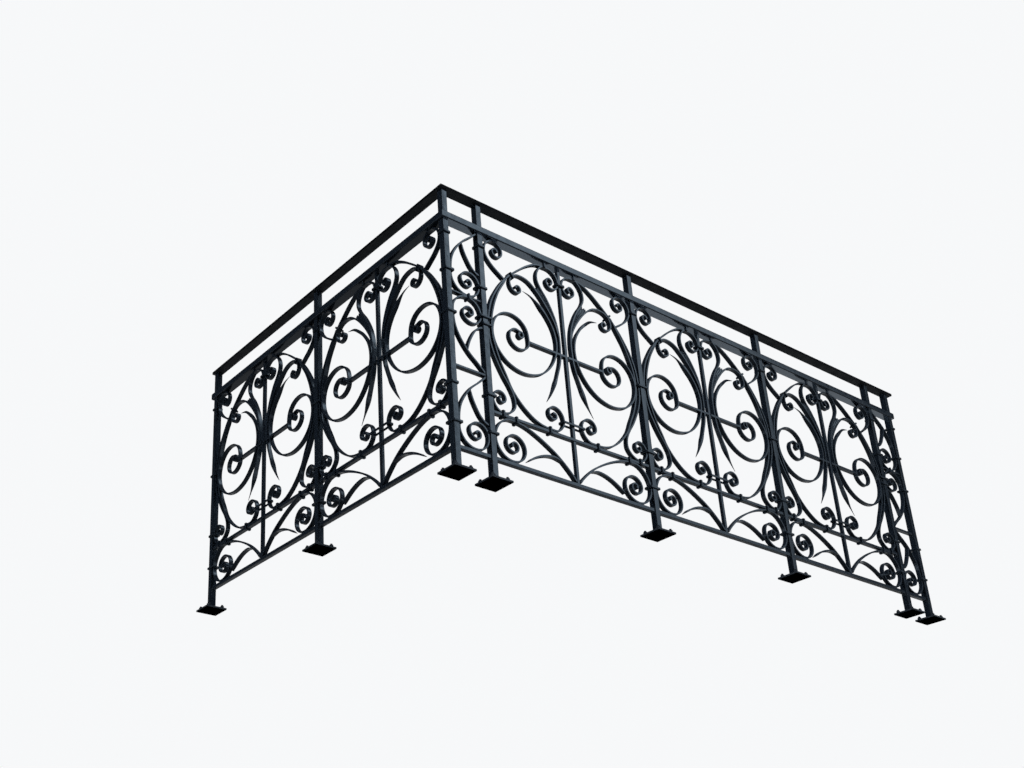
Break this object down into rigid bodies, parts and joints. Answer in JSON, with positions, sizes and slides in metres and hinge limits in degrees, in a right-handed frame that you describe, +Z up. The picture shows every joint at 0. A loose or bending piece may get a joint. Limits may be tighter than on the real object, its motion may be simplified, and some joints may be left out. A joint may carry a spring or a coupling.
{
  "type": "iron balcony railing",
  "caption": "Corner balcony railing of black iron: posts, flat handrail, second rail and scroll panels with volutes and a lower scroll band.",
  "frame": {"origin": "on the floor under the middle of the corner post, on the underside of its foot plate", "axes": "+X along the front side away from the corner, +Y along the left side away from the corner, +Z up; the outer faces look to -Y and -X"},
  "size_m": [2.445, 1.47, 1],
  "materials": {
    "bar_paint": "black satin paint on hand-forged iron, with brush marks and light weathering",
    "rail_paint": "matte black paint, worn smooth by hands",
    "collar_paint": "black satin paint, thick in the corners of the collars",
    "foot_paint": "black paint with a little rust at the edges"
  },
  "bodies": {
    "root": {"corner_post": "bar_paint", "front_end_post": "bar_paint", "left_end_post": "bar_paint", "front_post_1": "bar_paint", "front_post_2": "bar_paint", "front_post_3": "bar_paint", "front_post_4": "bar_paint", "left_post_1": "bar_paint", "corner_foot": "foot_paint", "front_end_foot": "foot_paint", "left_end_foot": "foot_paint", "front_foot_1": "foot_paint", "front_foot_2": "foot_paint", "front_foot_3": "foot_paint", "front_foot_4": "foot_paint", "left_foot_1": "foot_paint", "handrail_front": "rail_paint", "handrail_left": "rail_paint", "mid_rail_front": "bar_paint", "mid_rail_left": "bar_paint", "lower_rail_front": "bar_paint", "lower_rail_left": "bar_paint", "bottom_rail_front": "bar_paint", "bottom_rail_left": "bar_paint", "centre_bar_front_1": "bar_paint", "centre_bar_front_2": "bar_paint", "centre_bar_front_3": "bar_paint", "centre_bar_left_1": "bar_paint", "centre_bar_left_2": "bar_paint", "scrolls_front_1": "bar_paint", "scrolls_front_2": "bar_paint", "scrolls_front_3": "bar_paint", "scrolls_left_1": "bar_paint", "scrolls_left_2": "bar_paint", "band_scrolls_front_1": "bar_paint", "band_scrolls_front_2": "bar_paint", "band_scrolls_front_3": "bar_paint", "band_scrolls_left_1": "bar_paint", "band_scrolls_left_2": "bar_paint", "corner_panel": "bar_paint", "end_panel": "bar_paint", "collars_front": "collar_paint", "collars_left": "collar_paint", "collars_corner": "collar_paint"}
  },
  "joints": []
}
